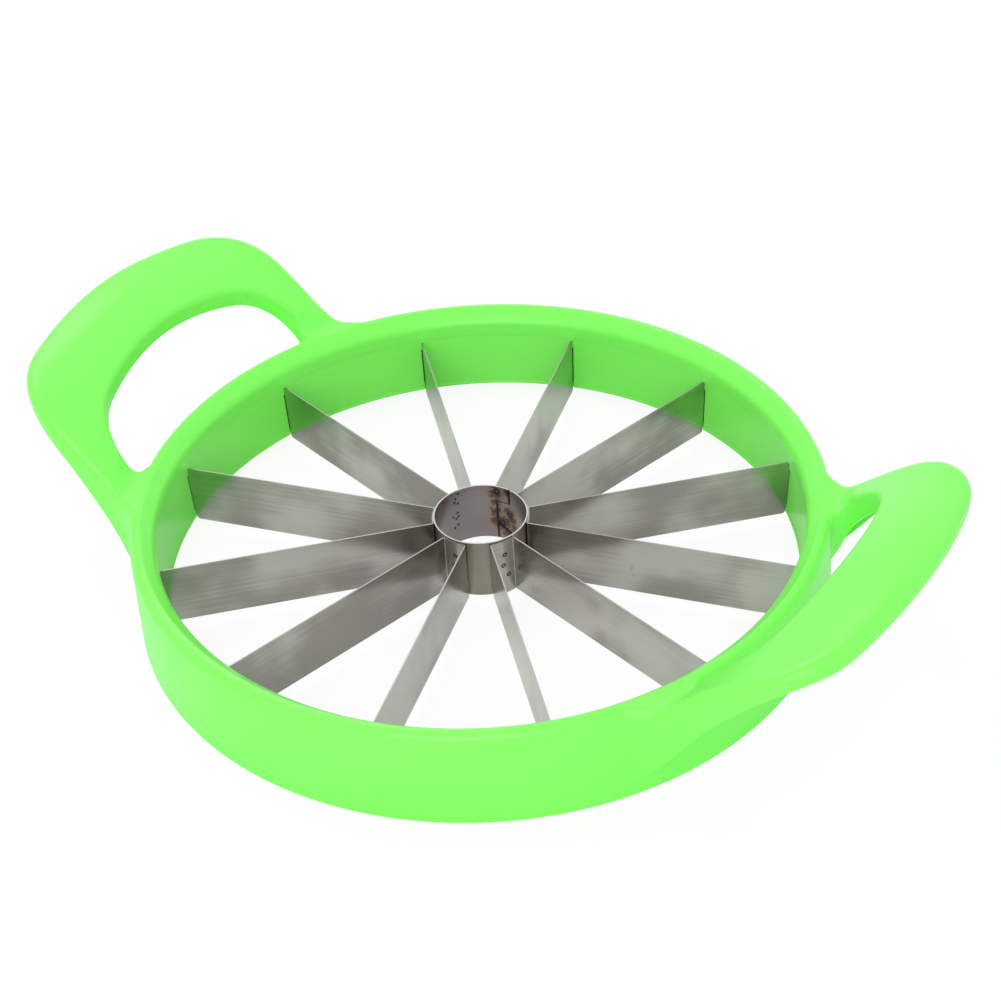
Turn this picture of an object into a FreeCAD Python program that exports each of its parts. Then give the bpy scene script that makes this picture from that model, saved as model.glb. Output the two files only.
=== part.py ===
"""Melon slicer: a moulded ring with two raised loop handles, twelve radial blades and a core tube.

The ring and its handles are one moulding on the real slicer. Here they are three bodies that meet
face to face at the ring's outside, so that each can bend round its own gap.

The blades are six folded steel strips. Each strip gives two blades and the web between them,
which lies on the outside of the rolled core tube. The blade ends have tangs that pass through
slots in the inner wall of the ring, and a closing ring in the channel keeps them there.

The origin is the middle of the ring on the table, +Z is up and +X runs along the handles.
All lengths are in millimetres and all angles in degrees.
"""
import FreeCAD, Part
import math
import os

from FreeCAD import Vector

# Ring, an inverted channel in section
ring_radius = 140.0
ring_height = 42.0
ring_width = 11.8
outer_wall = 2.8
inner_wall = 2.4
rim_wall = 3.0
outer_draft = 1.2
inner_draft = 3.0
crest_width = 4.5
rim_slope = 43.5
shoulder_radius = 3.9
crest_radius = 1.4
rim_edge_ratio = 0.985
ledge_gap = 0.5
ledge_depth = 0.4
lip_height = 1.2
lip_depth = 0.4

# Blades, folded from strip in pairs
strip_count = 6
blade_height = 26.2
blade_thickness = 0.5
blade_rise = 4.0
wall_edge_rise = 1.3
fold_radius = 0.4
corner_radius = 1.3
end_gap = 0.35
tang_height = 17.0
tang_reach = 1.8
tab_length = 5.0
slot_clearance = 0.3

# Core tube, rolled from sheet
tube_radius = 19.05
tube_wall = 0.6
tube_above = 0.8
tube_recess = 0.6
weld_gap = 0.05
seam_gap = 0.6
seam_angle = 85.0
seam_step_angle = 18.0
seam_step_height = 18.8

# Closing ring in the channel
closing_thickness = 2.6
closing_recess = 3.4
fit_clearance = 0.3
post_width = 6.0

# Handles, seen from above
handle_reach = 51.4
handle_width = 147.2
handle_corner = 34.5
handle_end_curve = 193.0
grip_width = 32.9
gap_width = 119.2
gap_corner = 26.6
gap_end_curve = 150.6
flare_radius = 38.7

# Handles, seen from the side
root_inset = 15.0
root_drop = 0.5
root_softness_ratio = 0.055
climb_angle = 96.3
handle_rise = 42.5
handle_crown = 5.5
skirt_depth = 7.0
skirt_root_depth = 21.0
outer_sweep_power = 2.35
inner_sweep_power = 6.2
handle_wall = 2.8
handle_face = 3.2
grip_edge_radius = 5.0
gap_edge_radius = 2.5
rib_thickness = 1.8
rib_recess = 2.0
rib_pitch = 28.0
grip_rib_count = 3
arm_rib_inset = 40.0

# Room that a cutting body takes past what it cuts, and how exactly edges are matched
spare = 10.0
tolerance = 0.001
face_tolerance = 0.05
face_step_count = 16

# Turns
quarter_turn = 90.0
half_turn = 180.0
full_turn = 360.0

# Places and radii that follow from the sizes above
blade_top = blade_rise + blade_height
half_pitch = quarter_turn / strip_count
inner_radius = ring_radius - ring_width
wall_edge = blade_rise + wall_edge_rise
ledge = blade_top + ledge_gap
web_inner = tube_radius + weld_gap
web_outer = web_inner + blade_thickness
tang_bottom = blade_rise + (blade_height - tang_height) / 2
tang_top = tang_bottom + tang_height
handle_tip = ring_radius + handle_reach
gap_tip = handle_tip - grip_width
root_x = ring_radius - root_inset
root_height = ring_height - root_drop
face_run = handle_tip - root_x
half_width = handle_width / 2
half_gap = gap_width / 2
arm_middle = (half_gap + half_width) / 2
grip_middle = (gap_tip + handle_tip) / 2
up = Vector(0, 0, 1)
origin = Vector(0, 0, 0)


def outer_radius_at(z):
    """Radius of the ring's outside: the wall leans in towards the rim."""
    return ring_radius - z * math.tan(math.radians(outer_draft))


def inner_radius_at(z):
    """Radius of the ring's inside: the wall opens towards the rim."""
    return inner_radius + (z - wall_edge) * math.tan(math.radians(inner_draft))


def channel_outer_at(z):
    return outer_radius_at(z) - outer_wall


def channel_inner_at(z):
    return inner_radius_at(z) + inner_wall


def polar(radius, angle, z=0.0):
    turn = math.radians(angle)
    return Vector(radius * math.cos(turn), radius * math.sin(turn), z)


def turned(shape, angle):
    copy = shape.copy()
    copy.rotate(origin, up, angle)
    return copy


def section(pairs):
    """Face in the XZ plane through pairs of radius and height."""
    points = [Vector(radius, 0, height) for radius, height in pairs]
    return Part.Face(Part.Wire(Part.makePolygon(points + [points[0]])))


def spun(pairs, angle=full_turn):
    return section(pairs).revolve(origin, up, angle)


def circles_at(shape, radius, height):
    """Circular edges of the shape with this radius at this height."""
    found = []
    for edge in shape.Edges:
        if isinstance(edge.Curve, Part.Circle):
            same_radius = math.isclose(edge.Curve.Radius, radius, abs_tol=tolerance)
            same_height = math.isclose(edge.Curve.Center.z, height, abs_tol=tolerance)
            if same_radius and same_height:
                found.append(edge)
    return found


def save(shape, name):
    solids = shape.Solids
    body = solids[0] if len(solids) == 1 else Part.makeCompound(solids)
    body.exportStep(os.path.join("parts", name + ".step"))
    print(name, len(solids), "solid, volume", round(body.Volume), "mm3, valid", body.isValid())
    return body


def ring_body():
    """Channel section turned about Z: the rim slopes down to the inside, and it is open below.

    Below the sloping rim is an upright band, which stands a little proud of the wall with the slots.
    The edge between them is rounded by a share of the band's height."""
    slope = math.tan(math.radians(rim_slope))
    drop = rim_wall / math.cos(math.radians(rim_slope))
    shoulder = outer_radius_at(ring_height)
    crest = shoulder - crest_width
    band = inner_radius_at(ledge) - ledge_depth
    foot_height = ring_height - (crest - band) * slope
    rim_edge_radius = rim_edge_ratio * (foot_height - ledge)
    ceiling = ring_height - rim_wall
    ceiling_crest = crest + (drop - rim_wall) / slope
    ceiling_foot = ring_height - drop - (crest - band - inner_wall) * slope
    lip_top = wall_edge + lip_height
    pairs = [
        (ring_radius, 0),
        (shoulder, ring_height),
        (crest, ring_height),
        (band, foot_height),
        (band, ledge),
        (inner_radius_at(ledge), ledge),
        (inner_radius_at(lip_top), lip_top),
        (inner_radius - lip_depth, lip_top - lip_depth),
        (inner_radius - lip_depth, wall_edge),
        (channel_inner_at(wall_edge), wall_edge),
        (channel_inner_at(ceiling_foot), ceiling_foot),
        (ceiling_crest, ceiling),
        (channel_outer_at(ceiling), ceiling),
        (channel_outer_at(0), 0),
    ]
    body = spun(pairs)
    body = body.makeFillet(shoulder_radius, circles_at(body, shoulder, ring_height))
    body = body.makeFillet(crest_radius, circles_at(body, crest, ring_height))
    return body.makeFillet(rim_edge_radius, circles_at(body, band, foot_height))


def loop_arcs(width, corner, tip, end_curve):
    """Corner and end arcs of a loop's half outline: side at y = width, end through x = tip."""
    end_centre = Vector(tip - end_curve, 0, 0)
    corner_y = width - corner
    corner_x = end_centre.x + math.sqrt((end_curve - corner) ** 2 - corner_y ** 2)
    meet = math.degrees(math.atan2(corner_y, corner_x - end_centre.x))
    corner_centre = Vector(corner_x, corner_y, 0)
    start = corner_centre + polar(corner, quarter_turn)
    middle = corner_centre + polar(corner, (quarter_turn + meet) / 2)
    end = corner_centre + polar(corner, meet)
    return start, middle, end, Vector(tip, 0, 0)


def flipped(point):
    return Vector(point.x, -point.y, point.z)


def arc(a, b, c):
    return Part.Arc(a, b, c).toShape()


def line(a, b):
    return Part.LineSegment(a, b).toShape()


def handle_outline(inset):
    """Outer edge of the handle seen from above, moved in by inset, with flared roots at the ring."""
    start, middle, end, tip = loop_arcs(
        half_width - inset, handle_corner - inset, handle_tip - inset, handle_end_curve - inset)
    foot_radius = channel_outer_at(0)
    flare_y = half_width + flare_radius
    flare_x = math.sqrt((foot_radius + flare_radius) ** 2 - flare_y ** 2)
    flare_centre = Vector(flare_x, flare_y, 0)
    foot_angle = math.degrees(math.atan2(flare_y, flare_x))
    flare = flare_radius + inset
    foot_turn = foot_angle + half_turn
    side_turn = half_turn + quarter_turn
    foot = flare_centre + polar(flare, foot_turn)
    bend = flare_centre + polar(flare, (foot_turn + side_turn) / 2)
    side = flare_centre + polar(flare, side_turn)
    edges = [
        arc(foot, bend, side),
        line(side, start),
        arc(start, middle, end),
        arc(end, tip, flipped(end)),
        arc(flipped(end), flipped(middle), flipped(start)),
        line(flipped(start), flipped(side)),
        arc(flipped(side), flipped(bend), flipped(foot)),
        line(flipped(foot), foot),
    ]
    return Part.Face(Part.Wire(edges))


def gap_outline(outset):
    """Finger gap seen from above, moved out by outset. It runs back under the ring."""
    start, middle, end, tip = loop_arcs(
        half_gap + outset, gap_corner + outset, gap_tip + outset, gap_end_curve + outset)
    back = Vector(root_x - 2 * spare, start.y, 0)
    edges = [
        line(back, start),
        arc(start, middle, end),
        arc(end, tip, flipped(end)),
        arc(flipped(end), flipped(middle), flipped(start)),
        line(flipped(start), flipped(back)),
        line(flipped(back), back),
    ]
    return Part.Face(Part.Wire(edges))


def face_height(x, y):
    """The handle's face climbs from its level root as a quarter wave, and falls to both sides as another.

    The climb starts softly, and the fall grows with it."""
    run_share = (x - root_x) / face_run
    soft_share = (run_share + math.hypot(run_share, root_softness_ratio)) / 2
    climb = math.sin(math.radians(climb_angle) * soft_share)
    fall = math.sin(math.pi / 2 * y / half_width)
    return root_height + climb * (handle_rise - handle_crown * fall ** 2)


def skirt_height(x, y, power):
    """Lower edge of the handle's walls: it drops with a power of the share of the way from the tip."""
    root_share = max(handle_tip - x, 0) / face_run
    return face_height(x, y) - skirt_depth - skirt_root_depth * root_share ** power


def outer_skirt(x, y):
    return skirt_height(x, y, outer_sweep_power)


def inner_skirt(x, y):
    return skirt_height(x, y, inner_sweep_power)


def body_below(height_at, drop):
    """Everything under a surface, lowered by drop, over the handle and a little past it."""
    x_low = root_x - 2 * spare
    x_step = (handle_tip + spare - x_low) / face_step_count
    y_step = 2 * (half_width + 2 * spare) / face_step_count
    rows = []
    for i in range(face_step_count + 1):
        x = x_low + i * x_step
        ys = [(j - face_step_count / 2) * y_step for j in range(face_step_count + 1)]
        rows.append([Vector(x, y, height_at(x, y) - drop) for y in ys])
    surface = Part.BSplineSurface()
    surface.interpolate(rows)
    return surface.toShape().extrude(Vector(0, 0, -2 * handle_tip))


def prism(face, low, high):
    copy = face.copy()
    copy.translate(Vector(0, 0, low))
    return copy.extrude(Vector(0, 0, high - low))


def band(inset):
    """Upright prism over the loop: the outline less the finger gap."""
    high = root_height + 2 * handle_rise
    return prism(handle_outline(inset), 0, high).cut(prism(gap_outline(inset), -spare, high + spare))


def face_edges(body, inner):
    """Edges between the handle's face and its outer walls, or its finger gap's walls."""
    found = []
    for edge in body.Edges:
        ends = [edge.valueAt(edge.FirstParameter), edge.valueAt(edge.LastParameter)]
        middle = edge.valueAt((edge.FirstParameter + edge.LastParameter) / 2)
        on_face = all(abs(p.z - face_height(p.x, p.y)) < face_tolerance for p in ends + [middle])
        in_gap = middle.x < grip_middle and abs(middle.y) < arm_middle
        level = abs(ends[0].x - ends[1].x) < tolerance
        one_side = abs(ends[0].y) > half_gap and ends[0].y * ends[1].y > 0
        if on_face and in_gap == inner and not (level and one_side):
            found.append(edge)
    return found


def core_of_ring():
    """Everything within the ring's outside and above its crest. A handle ends there."""
    high = ring_height + 2 * handle_rise
    shoulder = outer_radius_at(ring_height)
    crest = shoulder - shoulder_radius
    core = spun([
        (0, -spare),
        (outer_radius_at(-spare), -spare),
        (shoulder, ring_height),
        (crest, ring_height),
        (crest, high),
        (0, high),
    ])
    return core.makeFillet(shoulder_radius, circles_at(core, shoulder, ring_height))


def handle_body():
    """One handle: a loop cut to its face and skirt, rounded, hollow below and stiffened with ribs."""
    below_face = body_below(face_height, 0)
    high = root_height + 2 * handle_rise
    gap_wall = prism(gap_outline(handle_wall), 0, high)
    below_inner = body_below(inner_skirt, 0).common(gap_wall)
    body = band(0).common(below_face).cut(body_below(outer_skirt, 0)).cut(below_inner)
    body = body.makeFillet(grip_edge_radius, face_edges(body, False))
    body = body.makeFillet(gap_edge_radius, face_edges(body, True))
    hollow = band(handle_wall).common(body_below(face_height, handle_face))
    hollow = hollow.cut(core_of_ring())
    ribs = Part.makeCompound(rib_boxes()).common(hollow).cut(body_below(inner_skirt, -rib_recess))
    shell = body.cut(core_of_ring()).cut(hollow)
    return shell.fuse(ribs.Solids).removeSplitter()


def rib_boxes():
    """Upright plates: some across the grip and one across each arm."""
    high = root_height + 2 * handle_rise
    boxes = []
    for k in range(grip_rib_count):
        middle = (k - (grip_rib_count - 1) / 2) * rib_pitch
        corner = Vector(gap_tip - spare, middle - rib_thickness / 2, 0)
        boxes.append(Part.makeBox(grip_width + spare, rib_thickness, high, corner))
    arm_x = handle_tip - arm_rib_inset
    for side in (-1, 1):
        corner = Vector(arm_x - rib_thickness / 2, half_width * (side - 1) / 2, 0)
        boxes.append(Part.makeBox(rib_thickness, half_width, high, corner))
    return boxes


def slot_body():
    """One slot for a tang, open at the inner wall's lower edge."""
    width = blade_thickness + 2 * slot_clearance
    low = inner_radius - 2 * lip_depth
    length = channel_inner_at(tang_top) + slot_clearance - low
    return Part.makeBox(length, width, tang_top + slot_clearance, Vector(low, -width / 2, 0))


def blade_angles():
    return [half_pitch + 2 * half_pitch * k for k in range(2 * strip_count)]


def slotted_ring():
    slots = [turned(slot_body(), angle) for angle in blade_angles()]
    return ring_body().cut(slots).removeSplitter()


def fold_points(side):
    """Points of one fold, from the web's inner face round to the blade and back to its outer face.

    The centre of the fold lies off the blade's middle plane, towards the web."""
    along = polar(1, side * half_pitch)
    towards_web = polar(1, side * (half_pitch - quarter_turn))
    off = blade_thickness / 2 + fold_radius
    out = math.sqrt((web_outer + fold_radius) ** 2 - off ** 2)
    centre = along * out + towards_web * off
    inward = centre * (-1 / centre.Length)
    away = towards_web * -1
    diagonal = inward + away
    diagonal = diagonal * (1 / diagonal.Length)
    far = fold_radius + blade_thickness
    end = along * (channel_inner_at(tang_top) + tang_reach)
    half = towards_web * (blade_thickness / 2)
    outside = [centre + inward * far, centre + diagonal * far, centre + away * far]
    inside = [centre + away * fold_radius, centre + diagonal * fold_radius, centre + inward * fold_radius]
    return outside, end - half, end + half, inside


def strip_section():
    """Outline of a folded strip seen from above: the web about the X axis and a blade each side."""
    out_a, end_a, end_b, in_a = fold_points(1)
    out_c, end_c, end_d, in_c = fold_points(-1)
    edges = [
        arc(out_c[0], Vector(web_inner, 0, 0), out_a[0]),
        arc(*out_a),
        line(out_a[2], end_a),
        line(end_a, end_b),
        line(end_b, in_a[0]),
        arc(*in_a),
        arc(in_a[2], Vector(web_outer, 0, 0), in_c[2]),
        arc(in_c[2], in_c[1], in_c[0]),
        line(in_c[0], end_d),
        line(end_d, end_c),
        line(end_c, out_c[2]),
        arc(out_c[2], out_c[1], out_c[0]),
    ]
    return Part.Face(Part.Wire(edges))


def blade_envelope():
    """Side view of a blade as a thick plate: the end follows the ring's wall, then the tang."""
    tang_end = channel_inner_at(tang_top) + tang_reach + spare
    pairs = [
        (tube_radius, blade_rise),
        (inner_radius_at(blade_rise) - end_gap, blade_rise),
        (inner_radius_at(tang_bottom) - end_gap, tang_bottom),
        (tang_end, tang_bottom),
        (tang_end, tang_top),
        (inner_radius_at(tang_top) - end_gap, tang_top),
        (inner_radius_at(blade_top) - end_gap, blade_top),
        (tube_radius, blade_top),
    ]
    plate = section(pairs)
    plate.translate(Vector(0, -spare, 0))
    plate = plate.extrude(Vector(0, 2 * spare, 0))
    corners = []
    for edge in plate.Edges:
        middle = edge.CenterOfMass
        at_end = middle.x > inner_radius - spare and abs(middle.y) < tolerance
        at_edge = min(abs(middle.z - blade_rise), abs(middle.z - blade_top)) < tolerance
        if at_end and at_edge:
            corners.append(edge)
    return plate.makeFillet(corner_radius, corners)


def tab_body(side):
    """Folded end of a tang, behind the inner wall, on the side away from the web."""
    outer = channel_inner_at(tang_top) + tang_reach
    low = -blade_thickness / 2 if side > 0 else blade_thickness / 2 - tab_length
    corner = Vector(outer - blade_thickness, low, tang_bottom)
    box = Part.makeBox(blade_thickness, tab_length, tang_height, corner)
    return turned(box, side * half_pitch)


def strip_body():
    web_room = Part.makeCylinder(tube_radius + spare, blade_height, Vector(0, 0, blade_rise))
    room = web_room.fuse([turned(blade_envelope(), side * half_pitch) for side in (-1, 1)])
    strip = prism(strip_section(), blade_rise, blade_top).common(room)
    return strip.fuse([tab_body(-1), tab_body(1)]).removeSplitter()


def seam_box(angle, low, high):
    """Upright slit through the tube's wall."""
    corner = Vector(tube_radius - spare, -seam_gap / 2, low)
    box = Part.makeBox(2 * spare, seam_gap, high - low, corner)
    return turned(box, angle)


def tube_body():
    """Rolled tube with a stepped butt seam."""
    low = blade_rise + tube_recess
    high = blade_top + tube_above
    tube = spun([
        (tube_radius - tube_wall, low),
        (tube_radius, low),
        (tube_radius, high),
        (tube_radius - tube_wall, high),
    ])
    step_low = low + seam_step_height
    step_high = step_low + seam_gap
    step = spun([
        (tube_radius - spare, step_low),
        (tube_radius + spare, step_low),
        (tube_radius + spare, step_high),
        (tube_radius - spare, step_high),
    ], seam_step_angle)
    upper = seam_box(seam_angle, step_low, high + spare)
    lower = seam_box(seam_angle + seam_step_angle, low - spare, step_high)
    return tube.cut([upper, lower, turned(step, seam_angle)])


def closing_body():
    """Flat ring in the mouth of the channel, with a post under each tang."""
    inner = channel_inner_at(tang_bottom) + fit_clearance
    outer = channel_outer_at(tang_bottom) - fit_clearance
    top = closing_recess + closing_thickness
    ring = spun([(inner, closing_recess), (outer, closing_recess), (outer, top), (inner, top)])
    post_turn = math.degrees(post_width / outer)
    post_top = tang_bottom - fit_clearance
    post = spun([(inner, top), (outer, top), (outer, post_top), (inner, post_top)], post_turn)
    posts = [turned(post, angle - post_turn / 2) for angle in blade_angles()]
    return ring.fuse(posts).removeSplitter()


def main():
    os.makedirs("parts", exist_ok=True)
    save(slotted_ring(), "ring")
    handle = handle_body()
    save(handle, "handle_right")
    save(turned(handle, half_turn), "handle_left")
    strip = strip_body()
    for k in range(strip_count):
        angle = 2 * half_pitch * (2 * k + 1)
        save(turned(strip, angle), "blade_pair_" + str(k + 1))
    save(tube_body(), "core_tube")
    save(closing_body(), "closing_ring")


main()
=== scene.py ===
# %% [markdown]
# # A melon slicer, dressed for its picture
# The real slicer is one glossy green moulding, a ring with two raised loop handles, and in it
# six folded strips of steel that make twelve blades round a short tube.
# The solids come first: they fix every place and size. This script only adds what they lack,
# which is rounded edges, thin sheet metal, weld marks and the finishes.

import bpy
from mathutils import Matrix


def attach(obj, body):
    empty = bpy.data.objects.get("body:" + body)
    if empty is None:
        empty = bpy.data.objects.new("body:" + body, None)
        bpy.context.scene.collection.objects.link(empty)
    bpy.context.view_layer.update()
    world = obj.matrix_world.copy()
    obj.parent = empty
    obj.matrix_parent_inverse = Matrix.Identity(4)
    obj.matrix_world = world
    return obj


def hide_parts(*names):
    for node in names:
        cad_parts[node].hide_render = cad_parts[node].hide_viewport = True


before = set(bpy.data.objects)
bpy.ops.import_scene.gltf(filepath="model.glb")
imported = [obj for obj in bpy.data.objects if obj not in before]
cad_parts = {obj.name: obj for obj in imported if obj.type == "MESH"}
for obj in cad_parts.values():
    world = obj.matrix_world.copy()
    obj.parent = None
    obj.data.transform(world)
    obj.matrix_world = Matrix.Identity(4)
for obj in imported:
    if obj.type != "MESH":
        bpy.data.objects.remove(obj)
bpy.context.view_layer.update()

# %% Other modules
import math

import bmesh
import bpy
import numpy as np
from mathutils import Matrix, Vector

MM = 0.001

# %% [markdown]
# ## From arrays to a mesh
# Every new piece is a grid of points worked out as one array, so the helpers below only have to
# number the quads of a grid and hand points and faces to Blender.
# Corners sharper than about 35 degrees and open borders keep a hard shading edge, so a sheet stays
# crisp once it gets its thickness, and the rest is shaded smooth.

# %% Helpers for grids
SHARP_ANGLE = 35.0


def grid_quads(rows, cols, wrap_rows=False, wrap_cols=False, keep=None):
    """Corner numbers of a grid's quads: point (i, j) has the number i * cols + j."""
    i, j = np.meshgrid(np.arange(rows if wrap_rows else rows - 1),
                       np.arange(cols if wrap_cols else cols - 1), indexing="ij")
    if keep is not None:
        i, j = i[keep], j[keep]
    i_next, j_next = (i + 1) % rows, (j + 1) % cols
    corners = [i * cols + j, i_next * cols + j, i_next * cols + j_next, i * cols + j_next]
    return np.stack(corners, -1).reshape(-1, 4)


def make_piece(name, points, faces, nodes, uv=None, fields=None, outward=False):
    """Mesh object in metres from points in millimetres, with unused points left out.

    uv and fields hold a value for each point, and outward turns every face to the outside."""
    used = np.unique(np.concatenate([np.ravel(f) for f in faces]))
    number = np.full(len(points), -1)
    number[used] = np.arange(len(used))
    mesh = bpy.data.meshes.new(name)
    mesh.from_pydata((points[used] * MM).tolist(), [], [number[f].tolist() for f in faces])
    if outward:
        work = bmesh.new()
        work.from_mesh(mesh)
        bmesh.ops.recalc_face_normals(work, faces=work.faces)
        work.to_mesh(mesh)
        work.free()
    corner = np.empty(len(mesh.loops), dtype=np.int32)
    mesh.loops.foreach_get("vertex_index", corner)
    if uv is not None:
        layer = mesh.uv_layers.new(name="UVMap")
        layer.data.foreach_set("uv", uv[used][corner].astype(np.float32).ravel())
    for field, values in (fields or {}).items():
        layer = mesh.attributes.new(field, "FLOAT", "POINT")
        layer.data.foreach_set("value", values[used].astype(np.float32))
    mesh.shade_smooth()
    mesh.set_sharp_from_angle(angle=math.radians(SHARP_ANGLE))
    border = np.empty(len(mesh.loops), dtype=np.int32)
    mesh.loops.foreach_get("edge_index", border)
    hard = np.empty(len(mesh.edges), dtype=bool)
    mesh.edges.foreach_get("use_edge_sharp", hard)
    hard |= np.bincount(border, minlength=len(hard)) == 1
    mesh.edges.foreach_set("use_edge_sharp", hard)
    piece = bpy.data.objects.new(name, mesh)
    bpy.context.scene.collection.objects.link(piece)
    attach(piece, "root")
    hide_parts(*nodes)
    print(name, len(mesh.vertices), "points", len(mesh.polygons), "faces")
    return piece


def on_circle(radius, degrees):
    """Plan points at a radius and a turn: (r cos a, r sin a)."""
    turn = np.radians(degrees)
    return np.stack([radius * np.cos(turn), radius * np.sin(turn)], -1)


def turned(points, degrees):
    """Points turned about Z."""
    c, s = math.cos(math.radians(degrees)), math.sin(math.radians(degrees))
    x, y, z = points[..., 0], points[..., 1], points[..., 2]
    return np.stack([x * c - y * s, x * s + y * c, z], -1)


# %% [markdown]
# ## The ring
# The ring is an upside-down channel: a leaning outer wall, a rim that slopes down to the inside,
# an upright band, and below a small step the inner wall, with a thin lip at its lower edge.
# Twelve slots in the inner wall take the blades' tangs. It could be turned with a Screw modifier,
# but a slot has to stop part of the way up the wall, so the profile is carried round as a grid
# with a column at each side of a slot, and the quads of the slots are left out.

# %% Sizes of the ring and the blades, in millimetres and degrees
RING_R, INNER_R, RING_TOP = 140.0, 128.2, 42.0
OUTER_LEAN, INNER_LEAN = math.tan(math.radians(1.2)), math.tan(math.radians(3.0))
INNER_WALL, OUTER_WALL, RIM_WALL = 2.4, 2.8, 3.0
CREST_WIDTH, RIM_SLOPE = 4.5, math.radians(43.5)
WALL_EDGE, LIP_TOP, LEDGE, STEP_DEPTH = 5.3, 6.5, 30.7, 0.4
BLADE_COUNT = 12
PITCH = 360.0 / BLADE_COUNT
HALF_PITCH = PITCH / 2
BLADE_ANGLES = HALF_PITCH + PITCH * np.arange(BLADE_COUNT)
BLADE_LOW, BLADE_HIGH, TANG_LOW, TANG_HIGH = 4.0, 30.2, 8.6, 25.6
SLOT_TOP, SLOT_WIDTH = 25.9, 1.1


def outer_radius(z):
    """Radius of the ring's outside, which leans in towards the rim."""
    return RING_R - OUTER_LEAN * z


def inner_radius(z):
    """Radius of the ring's inner wall, which opens towards the rim."""
    return INNER_R + INNER_LEAN * (z - WALL_EDGE)


# %% Rounded outlines
def rounded(corners, radii, steps):
    """Closed outline with an arc at every corner.

    The arc of radius R starts and ends R / tan(h) from the corner, and its centre is on the
    bisector at R / sin(h), where h is half the corner's angle."""
    corners, radii = np.array(corners), np.array(radii)[:, None]
    back, ahead = np.roll(corners, 1, 0) - corners, np.roll(corners, -1, 0) - corners
    back /= np.linalg.norm(back, axis=1, keepdims=True)
    ahead /= np.linalg.norm(ahead, axis=1, keepdims=True)
    half = np.arccos(np.sum(back * ahead, 1, keepdims=True)) / 2
    middle = back + ahead
    middle /= np.linalg.norm(middle, axis=1, keepdims=True)
    centre = corners + middle * radii / np.sin(half)
    first = corners + back * radii / np.tan(half) - centre
    last = corners + ahead * radii / np.tan(half) - centre
    start = np.arctan2(first[:, 1], first[:, 0])
    sweep = (np.arctan2(last[:, 1], last[:, 0]) - start + math.pi) % (2 * math.pi) - math.pi
    turn = start[:, None] + sweep[:, None] * np.linspace(0, 1, steps)
    arcs = centre[:, None] + radii[:, None] * np.stack([np.cos(turn), np.sin(turn)], -1)
    return arcs.reshape(-1, 2)


# %% Profile of the ring
def ring_corners():
    """Corners of the section: up the outside, over the rim, down the inside, and back within."""
    slope = math.tan(RIM_SLOPE)
    shoulder = outer_radius(RING_TOP)
    crest = shoulder - CREST_WIDTH
    band = inner_radius(LEDGE) - STEP_DEPTH
    lip = INNER_R - STEP_DEPTH
    drop = RIM_WALL / math.cos(RIM_SLOPE)
    roof = RING_TOP - RIM_WALL
    roof_foot = RING_TOP - drop - (crest - band - INNER_WALL) * slope
    return [(RING_R, 0.0), (shoulder, RING_TOP), (crest, RING_TOP),
            (band, RING_TOP - (crest - band) * slope), (band, LEDGE), (inner_radius(LEDGE), LEDGE),
            (inner_radius(LIP_TOP), LIP_TOP), (lip, LIP_TOP - STEP_DEPTH), (lip, WALL_EDGE),
            (INNER_R + INNER_WALL, WALL_EDGE), (inner_radius(roof_foot) + INNER_WALL, roof_foot),
            (crest + (drop - RIM_WALL) / slope, roof), (outer_radius(roof) - OUTER_WALL, roof),
            (RING_R - OUTER_WALL, 0.0)]


RING_RADII = [0.5, 3.9, 1.4, 6.0, 0.12, 0.08, 0.3, 0.15, 0.2, 0.3, 0.6, 0.25, 0.15, 0.4]
ARC_STEPS, LIP_CORNER, ROOF_CORNER = 9, 6, 10
inner_top = (inner_radius(SLOT_TOP), SLOT_TOP)
back_top = (inner_radius(SLOT_TOP) + INNER_WALL, SLOT_TOP)
# A slot's two top points go into the profile just before the lip's and the roof's corners.
slot_tops = [LIP_CORNER * ARC_STEPS, ROOF_CORNER * ARC_STEPS]
profile = rounded(ring_corners(), RING_RADII, ARC_STEPS)
profile = np.insert(profile, slot_tops, [inner_top, back_top], axis=0)
SLOT_FIRST, SLOT_LAST = slot_tops[0], slot_tops[1] + 1
print("ring profile", len(profile), "points")

# %% Carry the profile round and leave the slots open
SECTOR_COLUMNS = 30
slot_half = math.degrees(SLOT_WIDTH / 2 / INNER_R)
between = np.linspace(slot_half, PITCH - slot_half, SECTOR_COLUMNS)
columns = (BLADE_ANGLES[:, None] + between).ravel()
plan = on_circle(profile[None, :, 0], columns[:, None])
heights = np.broadcast_to(profile[:, 1], plan.shape[:2])
ring_points = np.concatenate([plan, heights[..., None]], -1).reshape(-1, 3)
count = len(profile)
in_slot = np.arange(len(columns)) % SECTOR_COLUMNS == SECTOR_COLUMNS - 1
in_wall = (np.arange(count) >= SLOT_FIRST) & (np.arange(count) < SLOT_LAST)
keep = ~(in_slot[:, None] & in_wall[None, :])
ring_faces = list(grid_quads(len(columns), count, True, True, keep))
left = np.flatnonzero(in_slot) * count
right = (np.flatnonzero(in_slot) + 1) % len(columns) * count
cheek = np.arange(SLOT_FIRST, SLOT_LAST + 1)
ring_faces += list(left[:, None] + cheek) + list(right[:, None] + cheek[::-1])
slot_roof = [left + SLOT_FIRST, left + SLOT_LAST, right + SLOT_LAST, right + SLOT_FIRST]
ring_faces += list(np.stack(slot_roof, -1))
ring = make_piece("ring_moulding", ring_points, ring_faces, ["ring"], outward=True)

# %% [markdown]
# ## The handles
# Each handle is a loop that flows out of the rim, climbs like a quarter wave and is hollow below.
# Seen from above its outer outline is a flare, a straight and arcs, and the finger gap is all arcs.
# A section is carried from one root to the other: outer wall, rounded edge, face, rounded edge,
# gap wall, and back inside.
# A subdivision surface could give the same flow, but not the exact outlines, so each corner of the
# section is a column of a grid instead, and its height is a function of where it lies.

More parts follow.
